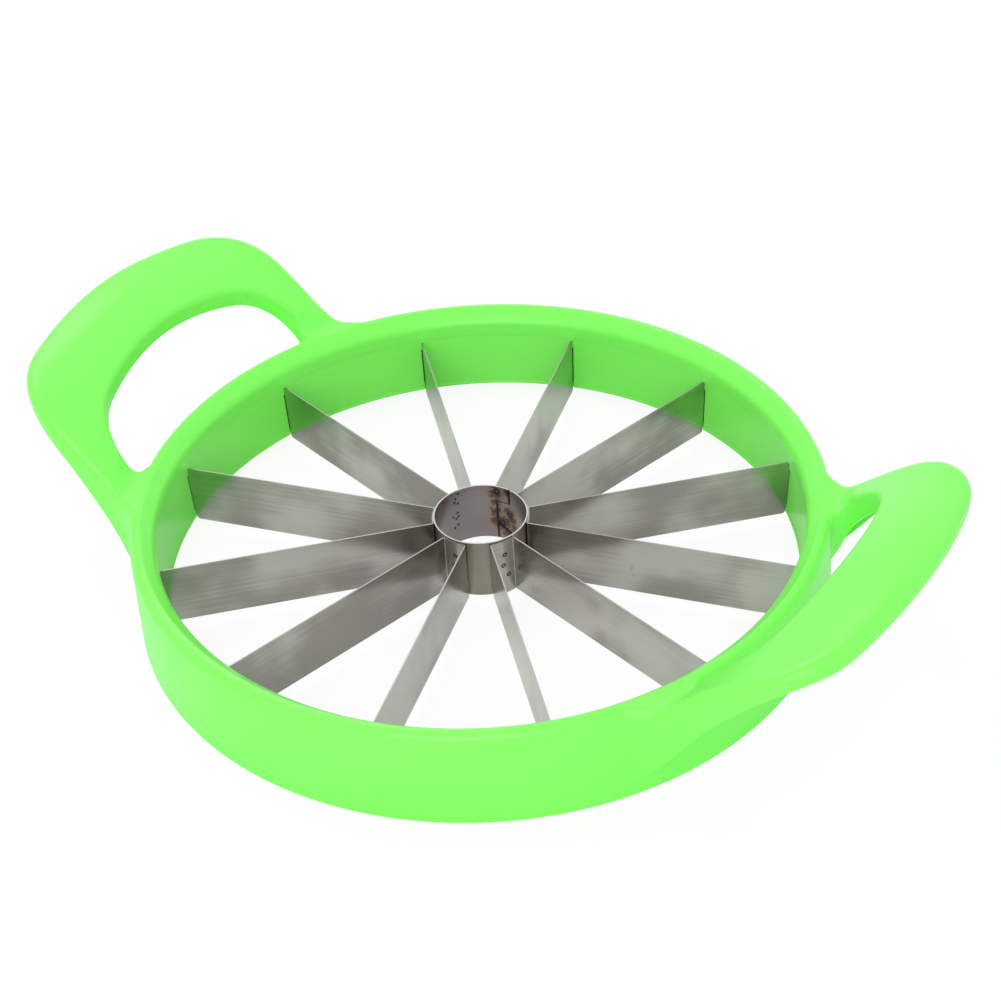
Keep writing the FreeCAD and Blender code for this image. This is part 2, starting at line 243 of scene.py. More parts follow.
# %% Heights of the handle's face and of the lower edges of its walls
ROOT_X, TIP_X, HALF_WIDTH, HALF_GAP = 125.0, 191.4, 73.6, 59.6
CORNER_R, END_R, GAP_TIP, GAP_CORNER_R, GAP_END_R, FLARE_R = 34.5, 193.0, 158.5, 26.6, 150.6, 38.7
FOOT_R, CREST_R = RING_R - OUTER_WALL, 135.3
ROOT_TOUCH_R, ROOT_FILLET = 139.4, 5.0
FACE_FOOT, FACE_RISE, FACE_DROP, CLIMB_ANGLE, CLIMB_SOFT = 41.5, 42.5, 5.5, 96.3, 0.055
BLEND_LENGTH, BELOW_RIM = 8.5, 0.002
SKIRT_DEPTH, SKIRT_ROOT_DEPTH, OUTER_SWEEP, INNER_SWEEP = 7.0, 21.0, 2.35, 6.2


def soft_step(share):
    """From 0 to 1 without a kink at either end: three squares less two cubes."""
    return share * share * (3 - 2 * share)


def face_height(x, y):
    """Height of the face over a plan point.

    The face climbs with the sine of a turn that grows along x, from 0 at the softened root to
    CLIMB_ANGLE at the tip. The climb is FACE_RISE, less FACE_DROP times the squared sine of y's
    share of the half width. Over the rim's shoulder the face blends to the rim's height."""
    share = (x - ROOT_X) / (TIP_X - ROOT_X)
    share = (share + np.hypot(share, CLIMB_SOFT)) / 2
    climb = np.sin(np.radians(CLIMB_ANGLE) * share)
    fall = np.sin(math.pi / 2 * y / HALF_WIDTH)
    height = FACE_FOOT + climb * (FACE_RISE - FACE_DROP * fall ** 2)
    near = np.clip(1 - (np.hypot(x, y) - ROOT_TOUCH_R) / BLEND_LENGTH, 0, 1)
    return height + soft_step(near) * (RING_TOP - BELOW_RIM - height)


def skirt_height(x, y, power):
    """Lower edge: the face less SKIRT_DEPTH, and lower still towards the root.

    The second part is SKIRT_ROOT_DEPTH times a power of the share of the way from the tip."""
    share = np.maximum(TIP_X - x, 0) / (TIP_X - ROOT_X)
    return face_height(x, y) - SKIRT_DEPTH - SKIRT_ROOT_DEPTH * share ** power


# %% Outlines seen from above, from the root to the tip
FLARE_STEPS, SIDE_STEPS, CORNER_STEPS, END_STEPS = 21, 8, 24, 14


def loop_pieces(width, corner, tip, end_curve):
    """Places along x of the centres of a loop's end and corner arcs, and where the arcs meet."""
    end_x = tip - end_curve
    corner_x = end_x + math.sqrt((end_curve - corner) ** 2 - (width - corner) ** 2)
    meet = math.degrees(math.atan2(width - corner, corner_x - end_x))
    return end_x, corner_x, meet


def arc_points(centre, radius, first, last, steps):
    """Points and outward normals of an arc."""
    turn = np.linspace(first, last, steps)
    normal = on_circle(1.0, turn)
    return np.array(centre) + radius * normal, normal


def outer_outline():
    """Flare, straight side, corner and half of the end, with the loop's outward normals."""
    end_x, corner_x, meet = loop_pieces(HALF_WIDTH, CORNER_R, TIP_X, END_R)
    flare_y = HALF_WIDTH + FLARE_R
    flare_x = math.sqrt((FOOT_R + FLARE_R) ** 2 - flare_y ** 2)
    foot = math.degrees(math.atan2(flare_y, flare_x)) + 180.0
    flare, flare_normal = arc_points((flare_x, flare_y), FLARE_R, foot, 270.0, FLARE_STEPS)
    side_x = np.linspace(flare_x, corner_x, SIDE_STEPS)[1:-1]
    side = np.stack([side_x, np.full_like(side_x, HALF_WIDTH)], -1)
    side_normal = np.tile([0.0, 1.0], (len(side), 1))
    middle = (corner_x, HALF_WIDTH - CORNER_R)
    corner, corner_normal = arc_points(middle, CORNER_R, 90.0, meet, CORNER_STEPS)
    end, end_normal = arc_points((end_x, 0.0), END_R, meet, 0.0, END_STEPS)
    points = np.concatenate([flare, side, corner, end[1:]])
    normals = np.concatenate([-flare_normal, side_normal, corner_normal, end_normal[1:]])
    return points, normals


def gap_outline(fraction):
    """Points of the finger gap: round root to fraction 1, corner to 3, and the end to 4.

    The root's arc touches the ring from outside and the corner's arc from inside, so its centre
    comes from the triangle of the three centres."""
    end_x, corner_x, meet = loop_pieces(HALF_GAP, GAP_CORNER_R, GAP_TIP, GAP_END_R)
    corner_middle = np.array([corner_x, HALF_GAP - GAP_CORNER_R])
    far = np.hypot(*corner_middle)
    to_root, between = ROOT_TOUCH_R + ROOT_FILLET, GAP_CORNER_R - ROOT_FILLET
    opened = math.degrees(math.acos((far ** 2 + to_root ** 2 - between ** 2) / (2 * far * to_root)))
    toward = math.degrees(math.atan2(corner_middle[1], corner_middle[0])) + opened
    root_middle = on_circle(to_root, toward)
    touch = math.degrees(math.atan2(*(root_middle - corner_middle)[::-1]))
    root_turn = toward + 180.0 + (touch - toward - 180.0) * np.clip(fraction, 0, 1)
    corner_turn = touch + (meet - touch) * np.clip(fraction - 1, 0, 2) / 2
    end_turn = meet * (1 - np.clip(fraction - 3, 0, 1))
    root = root_middle + on_circle(ROOT_FILLET, root_turn)
    corner = corner_middle + on_circle(GAP_CORNER_R, corner_turn)
    end = np.array([end_x, 0.0]) + on_circle(GAP_END_R, end_turn)
    on_root, on_corner = fraction <= 1, fraction <= 3
    points = np.select([on_root[:, None], on_corner[:, None]], [root, corner], end)
    turn = np.select([on_root, on_corner], [root_turn, corner_turn], end_turn)
    return points, on_circle(1.0, turn)


# %% The section carried along the loop
ROOT_EDGE_R, EDGE_GROWTH, GROWTH_LENGTH, GAP_EDGE_R = 3.9, 1.1, 35.0, 2.0
EDGE_STEPS, FACE_STEPS, OUTER_ROWS, GAP_ROWS, GAP_BACK_ROWS, OUTER_BACK_ROWS = 8, 14, 7, 5, 4, 6
HANDLE_WALL, CEILING, HEM, HEM_CORNER, LOWEST = 2.8, 3.2, 0.4, 0.12, 0.1
GAP_STATIONS = [0, 22, 40, 50]
HIDE_FROM, HIDE_TO, WALL_BITE = 37.0, 41.0, 0.3
SINK_START, SINK_ROUND, SINK_RATE = 0.1, 0.7, 1.02


def mirrored(points):
    """The half loop followed by its mirror image, back from the tip to the other root."""
    flipped = points[-2::-1] * np.array([1.0, -1.0])
    return np.concatenate([points, flipped])


def handle_grid():
    """Grid of the handle's skin: stations along the loop by points round the section.

    The finger gap's outline reaches its fractions 0 to 3 at GAP_STATIONS, and 4 at the tip. A wall
    that would show inside the ring is pushed out into the ring's wall, or at rim height to its
    crest, and the face sinks along the crest's rounding."""
    outer, outer_n = outer_outline()
    stations = GAP_STATIONS + [len(outer) - 1]
    fraction = np.interp(np.arange(len(outer)), stations, np.arange(len(stations)))
    gap, gap_n = gap_outline(fraction)
    outer, outer_n, gap, gap_n = [mirrored(a) for a in (outer, outer_n, gap, gap_n)]
    reach = np.clip((np.hypot(outer[:, 0], outer[:, 1]) - FOOT_R) / GROWTH_LENGTH, 0, 1)
    big = (ROOT_EDGE_R + EDGE_GROWTH * soft_step(reach))[:, None]
    small = np.full((len(gap), 1), GAP_EDGE_R)
    turn = np.radians(np.linspace(0, 90, EDGE_STEPS))

    def edge(outline, normal, radius, into):
        """Rounded edge: in by R (1 - cos t) and down by R (1 - sin t)."""
        inward = radius * (1 - np.cos(turn))
        place = outline[:, None] + into * normal[:, None] * inward[..., None]
        return place, face_height(place[..., 0], place[..., 1]) - radius * (1 - np.sin(turn))

    def wall(outline, normal, depth, high, low, steps, into):
        """Upright wall from one height to another, set in by a depth."""
        place = np.repeat((outline + into * normal * depth)[:, None], steps, 1)
        share = np.linspace(0, 1, steps)
        return place, high[:, None] * (1 - share) + low[:, None] * share

    outer_edge, outer_edge_z = edge(outer, outer_n, big, -1)
    gap_edge, gap_edge_z = edge(gap, gap_n, small, 1)
    share = np.linspace(0, 1, FACE_STEPS)[1:-1][None, :, None]
    face = outer_edge[:, -1:] * (1 - share) + gap_edge[:, -1:] * share
    face_z = face_height(face[..., 0], face[..., 1])
    outer_low = np.maximum(skirt_height(*outer.T, OUTER_SWEEP), LOWEST)
    gap_low = skirt_height(*gap.T, INNER_SWEEP)
    outer_hem, gap_hem = outer_low + HEM, gap_low + HEM
    outer_high, gap_high = [face_height(*outline.T) - CEILING for outline in (outer, gap)]
    outer_wall, outer_wall_z = wall(outer, outer_n, 0.0, outer_hem, outer_edge_z[:, 0],
                                    OUTER_ROWS, -1)
    gap_wall, gap_wall_z = wall(gap, gap_n, 0.0, gap_edge_z[:, 0], gap_hem, GAP_ROWS, 1)
    gap_back, gap_back_z = wall(gap, gap_n, HANDLE_WALL, gap_hem, gap_high, GAP_BACK_ROWS, 1)
    outer_back, outer_back_z = wall(outer, outer_n, HANDLE_WALL, outer_high, outer_hem,
                                    OUTER_BACK_ROWS, -1)
    under = outer_back[:, :1] * share[:, ::-1] + gap_back[:, -1:] * (1 - share[:, ::-1])
    under_z = face_height(under[..., 0], under[..., 1]) - CEILING

    def foot(outline, normal, low, into):
        """Lower edge of a wall, rounded a little on both sides."""
        step = np.array([HEM_CORNER, HEM, HANDLE_WALL - HEM, HANDLE_WALL - HEM_CORNER])
        place = outline[:, None] + into * normal[:, None] * step[None, :, None]
        return place, low[:, None] + np.array([HEM_CORNER, 0.0, 0.0, HEM_CORNER])

    gap_foot, gap_foot_z = foot(gap, gap_n, gap_low, 1)
    outer_foot, outer_foot_z = foot(outer, outer_n, outer_low, -1)
    parts = [(outer_wall, outer_wall_z), (outer_edge[:, 1:], outer_edge_z[:, 1:]), (face, face_z),
             (gap_edge[:, ::-1], gap_edge_z[:, ::-1]), (gap_wall[:, 1:], gap_wall_z[:, 1:]),
             (gap_foot, gap_foot_z), (gap_back, gap_back_z), (under, under_z),
             (outer_back, outer_back_z), (outer_foot[:, ::-1], outer_foot_z[:, ::-1])]
    place = np.concatenate([p for p, z in parts], 1)
    height = np.concatenate([z for p, z in parts], 1)
    radius = np.hypot(place[..., 0], place[..., 1])
    hidden = np.interp(height, [HIDE_FROM, HIDE_TO], [FOOT_R + WALL_BITE, CREST_R])
    lift = np.where(radius < hidden, hidden / radius, 1.0)
    first = outer_wall.shape[1] + outer_edge.shape[1] - 2
    top = slice(first, first + face.shape[1] + 2)
    lift[:, top] = 1.0
    lift[[0, -1]] = (hidden / radius)[[0, -1]]
    lift[[0, -1], top] = np.minimum(lift[[0, -1], top], 1.0)
    place = place * lift[..., None]
    face_x, face_y = place[:, top, 0], place[:, top, 1]
    past_crest = np.maximum(CREST_R - SINK_START - np.hypot(face_x, face_y), 0)
    sunk = SINK_RATE * (np.hypot(past_crest, SINK_ROUND) - SINK_ROUND)
    height[:, top] = face_height(face_x, face_y) - sunk
    return np.concatenate([place, height[..., None]], -1)


# %% Ribs below the face
RIB_THICKNESS, RIB_STEPS, RIB_RECESS, RIB_BITE = 1.8, 9, 2.0, 0.2
RIB_END, RIB_PITCH, ARM_RIB_X, ARM_RIB_FROM, ARM_RIB_TO = 2.0, 28.0, 151.4, 46.0, 72.0


def rib_box(first, last):
    """Upright plate along a plan line, from a little above the lower edge into the ceiling."""
    first, last = np.array(first), np.array(last)
    along = (last - first) / np.linalg.norm(last - first)
    across = np.array([-along[1], along[0]]) * RIB_THICKNESS / 2
    line = first + (last - first) * np.linspace(0, 1, RIB_STEPS)[:, None]
    corners = np.stack([line - across, line + across, line + across, line - across], 1)
    high = face_height(*line.T) - CEILING + RIB_BITE
    low = skirt_height(*line.T, INNER_SWEEP) + RIB_RECESS
    height = np.stack([low, low, high, high], 1)
    points = np.concatenate([corners, height[..., None]], -1).reshape(-1, 3)
    cap = np.arange(4)
    faces = list(grid_quads(RIB_STEPS, 4, False, True)) + [cap, cap[::-1] + 4 * (RIB_STEPS - 1)]
    return points, faces


def grip_rib(y):
    """Rib across the grip at a given y, from the gap's wall to the outer wall."""
    gap_x = GAP_TIP - GAP_END_R + math.sqrt(GAP_END_R ** 2 - y ** 2)
    tip_x = TIP_X - END_R + math.sqrt(END_R ** 2 - y ** 2)
    return rib_box((gap_x + RIB_END, y), (tip_x - RIB_END, y))


def arm_rib(side):
    """Rib across one arm of the loop: side is 1 or -1."""
    return rib_box((ARM_RIB_X, side * ARM_RIB_FROM), (ARM_RIB_X, side * ARM_RIB_TO))


# %% Both handles
handle = handle_grid()
stations, around = handle.shape[:2]
shell_faces = list(grid_quads(stations, around, False, True))
shell_faces += [np.arange(around), np.arange((stations - 1) * around, stations * around)[::-1]]
blocks = [(handle.reshape(-1, 3), shell_faces)]
blocks += [grip_rib(y) for y in (-RIB_PITCH, 0.0, RIB_PITCH)]
blocks += [arm_rib(side) for side in (-1.0, 1.0)]
starts = np.cumsum([0] + [len(p) for p, f in blocks])
handle_points = np.concatenate([p for p, f in blocks])
handle_faces = [face + start for (p, faces), start in zip(blocks, starts) for face in faces]
handles = [make_piece("handle_moulding_" + side, turned(handle_points, turn), handle_faces,
                      ["handle_" + side], outward=True)
           for side, turn in (("right", 0.0), ("left", 180.0))]

# %% [markdown]
# ## The blades
# Six strips of thin rolled steel are folded twice each. The middle of a strip is the web, which
# lies round the tube, and its two arms are blades. A blade ends in a tang that goes through the
# ring's wall and is bent over behind it. The strip is a sheet on a grid of length by height, with
# the corners beside the tangs left out, and Solidify gives it its thickness.
# The UV map unrolls the strip, so the rolling lines in the finish follow every fold.

# %% Path of half a strip, from the middle of the web outwards
WEB_R, FOLD_R = 19.35, 0.65
FOLD_CENTRE = WEB_R + FOLD_R
FOLD_OFF = math.degrees(math.asin(FOLD_R / FOLD_CENTRE))
SHEET, BLADE_CORNER, END_GAP = 0.5, 1.3, 0.35
TANG_REACH, TAB_FOLD_R, TAB_LENGTH = 1.8, 0.6, 4.75
WEB_STEPS, FOLD_STEPS, BLADE_STEPS, TANG_STEPS, TAB_FOLD_STEPS = 13, 7, 25, 3, 4
CORNER_ROWS, SIDE_ROWS, TANG_ROWS = 6, 8, 35


def strip_rows():
    """Heights of the strip's rows: dense at the rounded corners, with rows at the tang's edges."""
    curl = BLADE_CORNER * (1 - np.cos(np.radians(np.linspace(0, 90, CORNER_ROWS))))
    low = BLADE_LOW + curl
    high = BLADE_HIGH - curl[::-1]
    inner = np.linspace(TANG_LOW, TANG_HIGH, TANG_ROWS)
    lower = np.linspace(low[-1], TANG_LOW, SIDE_ROWS)[1:-1]
    upper = np.linspace(TANG_HIGH, high[0], SIDE_ROWS)[1:-1]
    return np.concatenate([low, lower, inner, upper, high])


def blade_end(z):
    """Radius where the blade ends: the wall less the gap, drawn in at the rounded corners."""
    into = np.maximum(BLADE_CORNER - np.minimum(z - BLADE_LOW, BLADE_HIGH - z), 0)
    drawn_in = BLADE_CORNER - np.sqrt(np.maximum(BLADE_CORNER ** 2 - into ** 2, 0))
    return inner_radius(z) - END_GAP - drawn_in


def half_strip():
    """Plan points of the half strip on the positive side, columns by rows, and rows' heights."""
    z = strip_rows()
    web = on_circle(WEB_R, np.linspace(0, HALF_PITCH - FOLD_OFF, WEB_STEPS))
    centre = on_circle(FOLD_CENTRE, HALF_PITCH - FOLD_OFF)
    fold_turn = np.linspace(180.0 + HALF_PITCH - FOLD_OFF, 90.0 + HALF_PITCH, FOLD_STEPS)[1:]
    fold = centre + on_circle(FOLD_R, fold_turn)
    start = math.sqrt(FOLD_CENTRE ** 2 - FOLD_R ** 2)
    near = np.concatenate([web, fold])
    near = np.repeat(near[:, None], len(z), 1)
    reach = start + (blade_end(z) - start) * np.linspace(0, 1, BLADE_STEPS)[1:, None]
    tang_stop = inner_radius(TANG_HIGH) + INNER_WALL + TANG_REACH - SHEET / 2 - TAB_FOLD_R
    tang = blade_end(z) + (tang_stop - blade_end(z)) * np.linspace(0, 1, TANG_STEPS + 1)[1:, None]
    arms = np.concatenate([reach, tang])
    across = np.zeros_like(arms)
    bend = np.radians(np.linspace(0, 90, TAB_FOLD_STEPS + 1)[1:])
    tab_out = np.concatenate([tang_stop + TAB_FOLD_R * np.sin(bend), [tang_stop + TAB_FOLD_R]])
    tab_side = np.concatenate([TAB_FOLD_R * (1 - np.cos(bend)), [TAB_LENGTH]])
    arms = np.concatenate([arms, np.repeat(tab_out[:, None], len(z), 1)])
    across = np.concatenate([across, np.repeat(tab_side[:, None], len(z), 1)])
    along_way, side_way = on_circle(1.0, HALF_PITCH), on_circle(1.0, HALF_PITCH + 90.0)
    far = arms[..., None] * along_way + across[..., None] * side_way
    return np.concatenate([near, far]), z


# %% The whole strip and its unrolled map
plan, z = half_strip()
plan = np.concatenate([plan[:0:-1] * np.array([1.0, -1.0]), plan])
columns_in_strip = len(plan)
step = np.linalg.norm(np.diff(plan, axis=0), axis=-1)
length = np.concatenate([np.zeros((1, len(z))), np.cumsum(step, 0)])
length -= length[columns_in_strip // 2]
height = np.broadcast_to(z, length.shape)
strip_points = np.concatenate([plan, height[..., None]], -1).reshape(-1, 3)
strip_uv = np.stack([length, height], -1).reshape(-1, 2) * MM
half_column = np.abs(np.arange(columns_in_strip - 1) + 0.5 - (columns_in_strip - 1) / 2)
tang_columns = TANG_STEPS + TAB_FOLD_STEPS + 1
is_tang = half_column > columns_in_strip // 2 - tang_columns
row_middle = (z[1:] + z[:-1]) / 2
in_tang = (row_middle > TANG_LOW) & (row_middle < TANG_HIGH)
keep = ~(is_tang[:, None] & ~in_tang[None, :])
strip_faces = list(grid_quads(columns_in_strip, len(z), keep=keep)[:, ::-1])


# %% Weld spots and thickness
def spot_marks(distance, width, rim=0.0):
    """Marks of spots from the distances to them: 1 at the distance rim, fading over width."""
    return np.exp(-((distance - rim) / width) ** 2).max(1)


def thicken(piece, thickness, inside=0, edge=1):
    """Thickness evenly to both sides; inside and edge count materials on from the first."""
    sheet = piece.modifiers.new("thickness", "SOLIDIFY")
    sheet.thickness = thickness * MM
    sheet.offset = 0.0
    sheet.use_even_offset = True
    sheet.material_offset = inside
    sheet.material_offset_rim = edge


# %% Six strips
MAP_SHIFT = 0.07
WEB_SPOT_RIM = 0.75
WEB_SPOT_WIDTH = 0.55 * WEB_SPOT_RIM
web_spots = np.array([(0.45, 23.5), (-0.3, 18.2), (1.7, 13.0)])
from_spots = np.linalg.norm(strip_uv[:, None] / MM - web_spots, axis=-1)
strip_weld = spot_marks(from_spots, WEB_SPOT_WIDTH, WEB_SPOT_RIM)
strips = []
for k in range(BLADE_COUNT // 2):
    number, turn = str(k + 1), PITCH * (2 * k + 1)
    strip = make_piece("blade_strip_" + number, turned(strip_points, turn), strip_faces,
                       ["blade_pair_" + number],
                       uv=strip_uv + [0.0, MAP_SHIFT * k], fields={"weld": strip_weld})
    thicken(strip, SHEET)
    strips.append(strip)

# %% [markdown]
# ## The core tube
# The tube is rolled from sheet, and its butt seam has a step, so the two edges key into each other.
# Two upright slits and the level slit between them are left open in a fine grid, and Solidify
# gives the sheet its thickness. The same grid carries two fields, worked out from distances along
# the sheet: the dark rims of the weld spots and a dark line along the seam, which is partly weld
# scorch and partly painted shade in the open slits, and the warmth of the seam's weld, which the
# finish turns into straw, brown and purple tints.

# %% Grid of the tube with its stepped seam
TUBE_R, TUBE_WALL, TUBE_LOW, TUBE_HIGH = 19.05, 0.6, 4.6, 31.0
MID_R = TUBE_R - TUBE_WALL / 2
SEAM, SEAM_TURN, SEAM_STEP, SEAM_GAP = 85.0, 18.0, 23.4, 0.4
TURN_STEP, TURN_CLEAR, LEVEL_COUNT, LEVEL_CLEAR = 1.2, 0.4, 67, 0.15
seam_half = math.degrees(SEAM_GAP / 2 / MID_R)
seam_edges = SEAM + np.array([-seam_half, seam_half, SEAM_TURN - seam_half, SEAM_TURN + seam_half])
step_edges = np.array([SEAM_STEP, SEAM_STEP + SEAM_GAP])
turns = np.arange(0.0, 360.0, TURN_STEP)
turns = turns[np.abs(turns[:, None] - seam_edges).min(1) > TURN_CLEAR]
turns = np.sort(np.concatenate([turns, seam_edges]))
levels = np.linspace(TUBE_LOW, TUBE_HIGH, LEVEL_COUNT)
levels = levels[np.abs(levels[:, None] - step_edges).min(1) > LEVEL_CLEAR]
levels = np.sort(np.concatenate([levels, step_edges]))
turn_grid, level_grid = np.meshgrid(turns, levels, indexing="ij")
turn_mid = np.append((turns[1:] + turns[:-1]) / 2, 360.0 - TURN_STEP / 2)[:, None]
level_mid = ((levels[1:] + levels[:-1]) / 2)[None, :]
upper = (np.abs(turn_mid - SEAM) < seam_half) & (level_mid > SEAM_STEP)
lower = (np.abs(turn_mid - SEAM - SEAM_TURN) < seam_half) & (level_mid < SEAM_STEP + SEAM_GAP)
middle = ((turn_mid > SEAM - seam_half) & (turn_mid < SEAM + SEAM_TURN + seam_half)
          & (level_mid > SEAM_STEP) & (level_mid < SEAM_STEP + SEAM_GAP))
keep = ~(upper | lower | middle)

# %% Welds on the tube
def gap_on_tube(spots):
    """Distance of every grid point from every spot (turn, height), round the tube and up it."""
    turn, level = turn_grid.ravel()[:, None], level_grid.ravel()[:, None]
    round_gap = np.radians((turn - spots[:, 0] + 180.0) % 360.0 - 180.0) * MID_R
    return np.hypot(round_gap, level - spots[:, 1])


# The seen web's dots stay in place, and those of the other webs are scattered a little.
SEEN_WEB, SCATTER_TURN, SCATTER_HEIGHT = 150.0, 0.9, 0.35
DOT_WIDTH, BLOB_WIDTH, BLOB_RIM, BURN_WIDTH = 0.75, 0.55, 1.1, 1.2
BURN_FROM, BURN_BY, BURN_BEND = np.array([102.0, 13.0]), np.array([-22.0, -5.0]), 0.7
webs = np.array([30.0, SEEN_WEB, 210.0, 270.0, 330.0])
dots = np.array([(3.4, 29.4), (7.4, 27.3), (4.4, 24.4), (9.2, 25.4), (5.6, 19.7),
                 (4.9, 17.8), (13.0, 18.4), (8.6, 17.0), (5.8, 13.7), (11.2, 12.6)])
chance = np.random.default_rng(7)
spread = [SCATTER_TURN, SCATTER_HEIGHT]
scatter = [chance.normal(0.0, spread, dots.shape) * (web != SEEN_WEB) for web in webs]
spots = np.concatenate([dots + [web, 0.0] + moved for web, moved in zip(webs, scatter)])
blobs = np.array([(103.0, 28.6), (86.0, 17.9), (97.0, 12.8)])
run = np.linspace(0, 1, 12)
scorch = BURN_FROM + BURN_BY * np.stack([run, run ** BURN_BEND], -1)
dot_marks = spot_marks(gap_on_tube(spots), DOT_WIDTH)
blob_marks = spot_marks(gap_on_tube(blobs), BLOB_WIDTH, BLOB_RIM)
scorch_marks = spot_marks(gap_on_tube(scorch), BURN_WIDTH)

# %% Heat colours, weld marks with painted slit shade, and dents of the tube
WARM_PLACES = [(104.0, 30.5, 2.6), (105.0, 27.5, 3.4), (104.0, 23.0, 2.6), (105.0, 18.0, 3.2),
               (104.0, 14.0, 3.4), (99.0, 11.0, 3.2), (92.0, 8.5, 2.8), (84.0, 8.0, 2.6),
               (79.0, 12.0, 2.6), (81.0, 16.0, 2.4), (86.0, 18.5, 3.4), (93.0, 14.0, 3.6),
               (88.0, 29.5, 2.2)]
SEAM_WIDTH, BEAD_WIDTH = 0.6, 0.8
BLOB_TONE, SCORCH_TONE, SEAM_SCORCH_AND_SHADE = 0.85, 0.9, 0.95
DOT_DENT, BLOB_DENT, BEAD_RISE = 0.08, 0.12, 0.10
warm = np.array(WARM_PLACES)
warmth = spot_marks(gap_on_tube(warm), warm[:, 2])
seam_line = np.where(level_grid > SEAM_STEP, SEAM, SEAM + SEAM_TURN)
from_seam = (np.radians(np.abs(turn_grid - seam_line)) * MID_R).reshape(-1, 1)
# The seam's line is partly weld scorch and partly painted shade that blackens the open slits.
weld = np.max([dot_marks, BLOB_TONE * blob_marks, SCORCH_TONE * scorch_marks,
               SEAM_SCORCH_AND_SHADE * spot_marks(from_seam, SEAM_WIDTH)], axis=0)
dent = DOT_DENT * dot_marks + BLOB_DENT * blob_marks - BEAD_RISE * spot_marks(from_seam, BEAD_WIDTH)
tube_plan = on_circle(MID_R + dent.reshape(turn_grid.shape), turn_grid)
tube_points = np.concatenate([tube_plan, level_grid[..., None]], -1).reshape(-1, 3)
tube_uv = np.stack([np.radians(turn_grid) * MID_R, level_grid], -1).reshape(-1, 2) * MM
tube_faces = list(grid_quads(len(turns), len(levels), wrap_rows=True, keep=keep))
tube = make_piece("tube_sheet", tube_points, tube_faces, ["core_tube"], uv=tube_uv,
                  fields={"weld": weld, "warmth": warmth})
DENT_ROOM = 0.04
thicken(tube, TUBE_WALL - DENT_ROOM, inside=1, edge=2)

# %% [markdown]
# ## Finishes
# A finish is a small tree of nodes. What more than one finish needs is made once as a group:
# fine unevenness of a surface, and the straight lines that rolling leaves in steel.
# Groups give out only values that change over the surface; the shader stays in the material.

# %% Small helpers for node trees
def add(tree, kind, inputs=None, **settings):
    """A node with its settings and input values; an input that is a socket gets linked."""
    node = tree.nodes.new(kind)
    for key, value in settings.items():
        setattr(node, key, value)
    for key, value in (inputs or {}).items():
        if isinstance(value, bpy.types.NodeSocket):
            tree.links.new(value, node.inputs[key])
        else:
            node.inputs[key].default_value = value
    return node


def new_group(name, inputs, outputs):
    """A shader node group: inputs have a name, a kind and a default, outputs a name and a kind."""
    tree = bpy.data.node_groups.new(name, "ShaderNodeTree")
    for label, kind, default in inputs:
        socket = tree.interface.new_socket(label, in_out="INPUT", socket_type="NodeSocket" + kind)
        if default is not None:
            socket.default_value = default
    for label, kind in outputs:
        tree.interface.new_socket(label, in_out="OUTPUT", socket_type="NodeSocket" + kind)
    return tree, tree.nodes.new("NodeGroupInput"), tree.nodes.new("NodeGroupOutput")


def math_node(tree, operation, *values):
    """Result of an operation on numbers or sockets."""
    return add(tree, "ShaderNodeMath", dict(enumerate(values)), operation=operation).outputs[0]


def ramp(tree, value, low, high, out_low=0.0, out_high=1.0, smooth=True):
    """Value between low and high carried over to out_low and out_high."""
    kind = "SMOOTHSTEP" if smooth else "LINEAR"
    inputs = {"Value": value, "From Min": low, "From Max": high,
              "To Min": out_low, "To Max": out_high}
    return add(tree, "ShaderNodeMapRange", inputs, interpolation_type=kind).outputs[0]


def noise(tree, vector, scale, detail, rough=0.5, distortion=0.0):
    """Noise between 0 and 1, with its scale in waves to the metre."""
    inputs = {"Vector": vector, "Scale": scale, "Detail": detail, "Roughness": rough,
              "Distortion": distortion}
    return add(tree, "ShaderNodeTexNoise", inputs).outputs["Fac"]


def mix_colour(tree, share, first, second):
    """Mix of two colours: sockets 0, 6 and 7 are the share and the colours, and 2 the result."""
    return add(tree, "ShaderNodeMix", {0: share, 6: first, 7: second}, data_type="RGBA").outputs[2]


def bumped(tree, height, strength, distance):
    """Normal of a surface that has these heights."""
    inputs = {"Height": height, "Strength": strength, "Distance": distance}
    return add(tree, "ShaderNodeBump", inputs).outputs[0]


def place(tree, group, **inputs):
    """A group's node; an underscore in an input's name here stands for a space."""
    named = {key.replace("_", " "): value for key, value in inputs.items()}
    return add(tree, "ShaderNodeGroup", named, node_tree=group)


def new_material(name):
    """A material, its tree and its shader."""
    material = bpy.data.materials.new(name)
    material.use_nodes = True
    tree = material.node_tree
    shader = tree.nodes["Principled BSDF"]
    return material, tree, shader


# %% Groups: uneven surface and rolled lines
def make_uneven():
    """Height from slow waves and fine grain, the grain alone, and patches over centimetres.

    The two sizes are counts of waves to the metre."""
    tree, given, result = new_group(
        "uneven surface",
        [("Vector", "Vector", None), ("Wave Size", "Float", 40.0), ("Grain Size", "Float", 2200.0)],
        [("Height", "Float"), ("Patches", "Float"), ("Grain", "Float")])
    where = given.outputs["Vector"]
    wave = noise(tree, where, given.outputs["Wave Size"], detail=1.0)
    grain = noise(tree, where, given.outputs["Grain Size"], detail=2.0, rough=0.6)
    patches = noise(tree, where, 14.0, detail=1.0)
    low_waves = math_node(tree, "MULTIPLY", wave, 0.4)
    height = math_node(tree, "ADD", low_waves, math_node(tree, "MULTIPLY", grain, 0.03))
    tree.links.new(height, result.inputs["Height"])
    tree.links.new(patches, result.inputs["Patches"])
    tree.links.new(grain, result.inputs["Grain"])
    return tree


